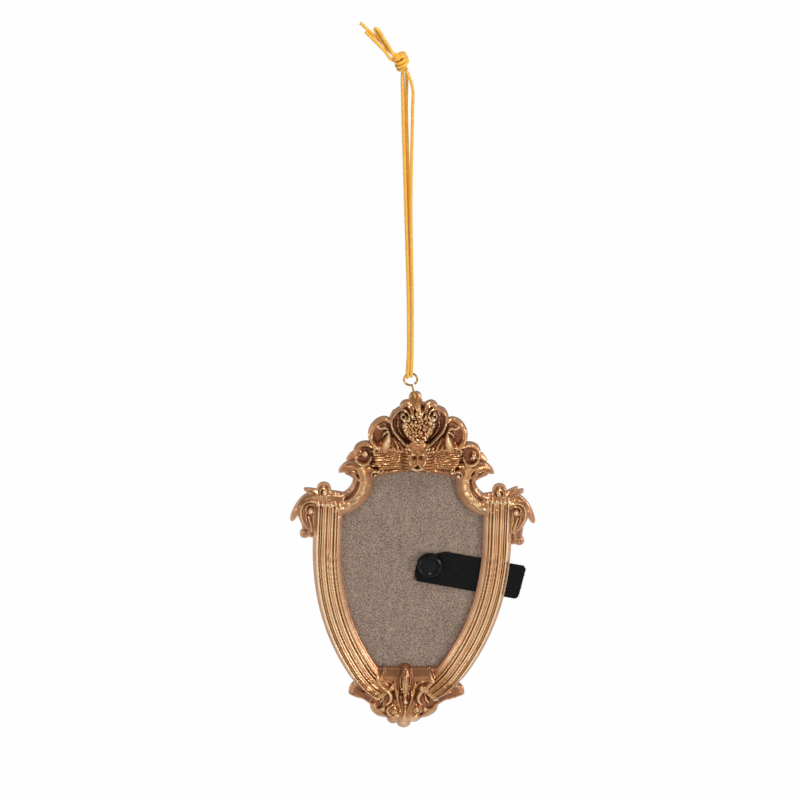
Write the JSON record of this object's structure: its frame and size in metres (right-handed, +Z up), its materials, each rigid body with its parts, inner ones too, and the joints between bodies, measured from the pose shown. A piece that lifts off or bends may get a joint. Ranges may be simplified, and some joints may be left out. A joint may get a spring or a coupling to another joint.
{
  "type": "hanging picture frame ornament",
  "caption": "Small ornate cast picture frame with a carved crest, a backing board held by a webbing strap, and a screw eye with a cord loop to hang it by.",
  "frame": {"origin": "the point inside the cord's loop, just under its knot, where the ornament is hung from a hook or branch", "axes": "+Z up along the frame's height, +X to the right seen from the front, +Y towards the flat back, so that the carved front faces -Y"},
  "size_m": [0.0797, 0.0073, 0.2623],
  "materials": {
    "gold_resin": "cast polyester resin, painted copper gold with dark recesses",
    "flocked_board": "greyish beige flocked paper over thin board",
    "webbing": "black woven webbing",
    "rivet": "glossy black",
    "gilt_wire": "bright gilt wire",
    "cord": "twisted satin cord, amber yellow"
  },
  "bodies": {
    "root": {"frame": "gold_resin", "backing_board": "flocked_board", "strap": "webbing", "rivet_cap": "rivet", "rivet_back": "rivet", "screw_eye": "gilt_wire", "cord_loop_left": "cord", "cord_loop_right": "cord", "cord_knot": "cord", "cord_tail_bight": "cord", "cord_tail_long": "cord", "cord_tail_short": "cord"}
  },
  "joints": []
}
